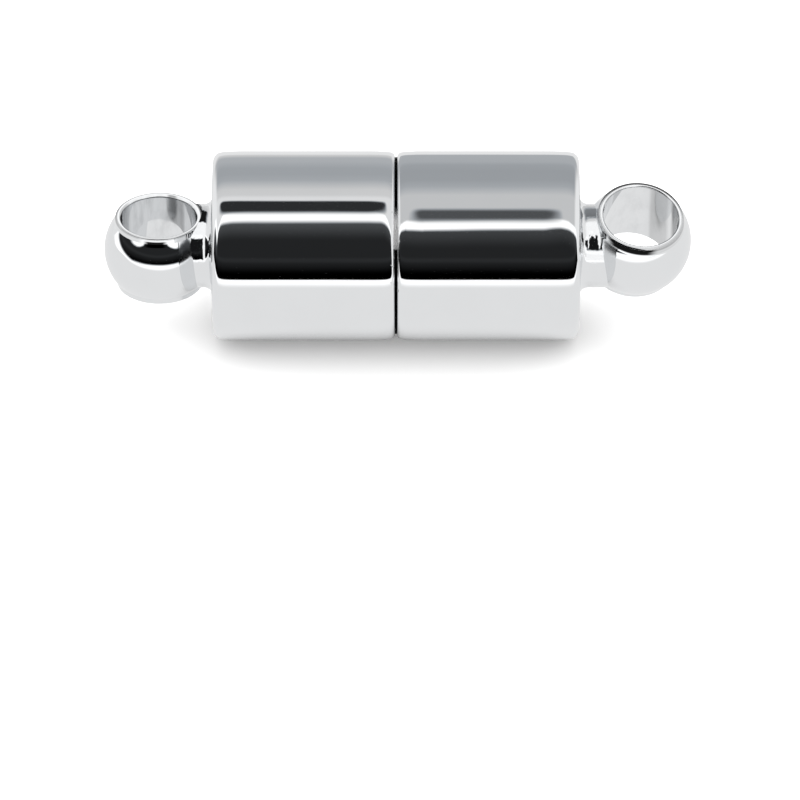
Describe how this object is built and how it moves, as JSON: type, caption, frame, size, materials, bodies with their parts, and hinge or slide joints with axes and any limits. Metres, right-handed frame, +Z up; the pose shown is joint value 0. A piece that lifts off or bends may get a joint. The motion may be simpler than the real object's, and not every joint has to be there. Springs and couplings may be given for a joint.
{
  "type": "magnetic clasp",
  "caption": "Round magnetic clasp for a necklace or bracelet: plated cups with disc magnets meet face to face, and each ends in a short neck and a drilled ball loop.",
  "frame": {"origin": "the point of the surface that the clasp lies on, straight under the middle of the seam between the two halves", "axes": "+X runs along the clasp from the left half to the right half, +Z is up through the hole of the left loop, and -Y is the side that the picture shows"},
  "size_m": [0.0187, 0.006, 0.006],
  "materials": {
    "plating": "bright silver-coloured plating, polished",
    "magnet_face": "satin nickel coating of the disc magnet"
  },
  "bodies": {
    "left_half": {"left_cup": "plating", "left_magnet": "magnet_face"},
    "right_magnet": {"right_magnet": "magnet_face"},
    "right_cup": {"right_cup": "plating"}
  },
  "joints": [
    {"name": "pull_apart", "type": "slide", "parent": "left_half", "child": "right_magnet", "axis": [1, 0, 0], "range_m": [0, 0.02]},
    {"name": "turn", "type": "hinge", "parent": "right_magnet", "child": "right_cup", "pos_m": [0.00201, 0, 0.003], "axis": [1, 0, 0], "continuous": true}
  ]
}
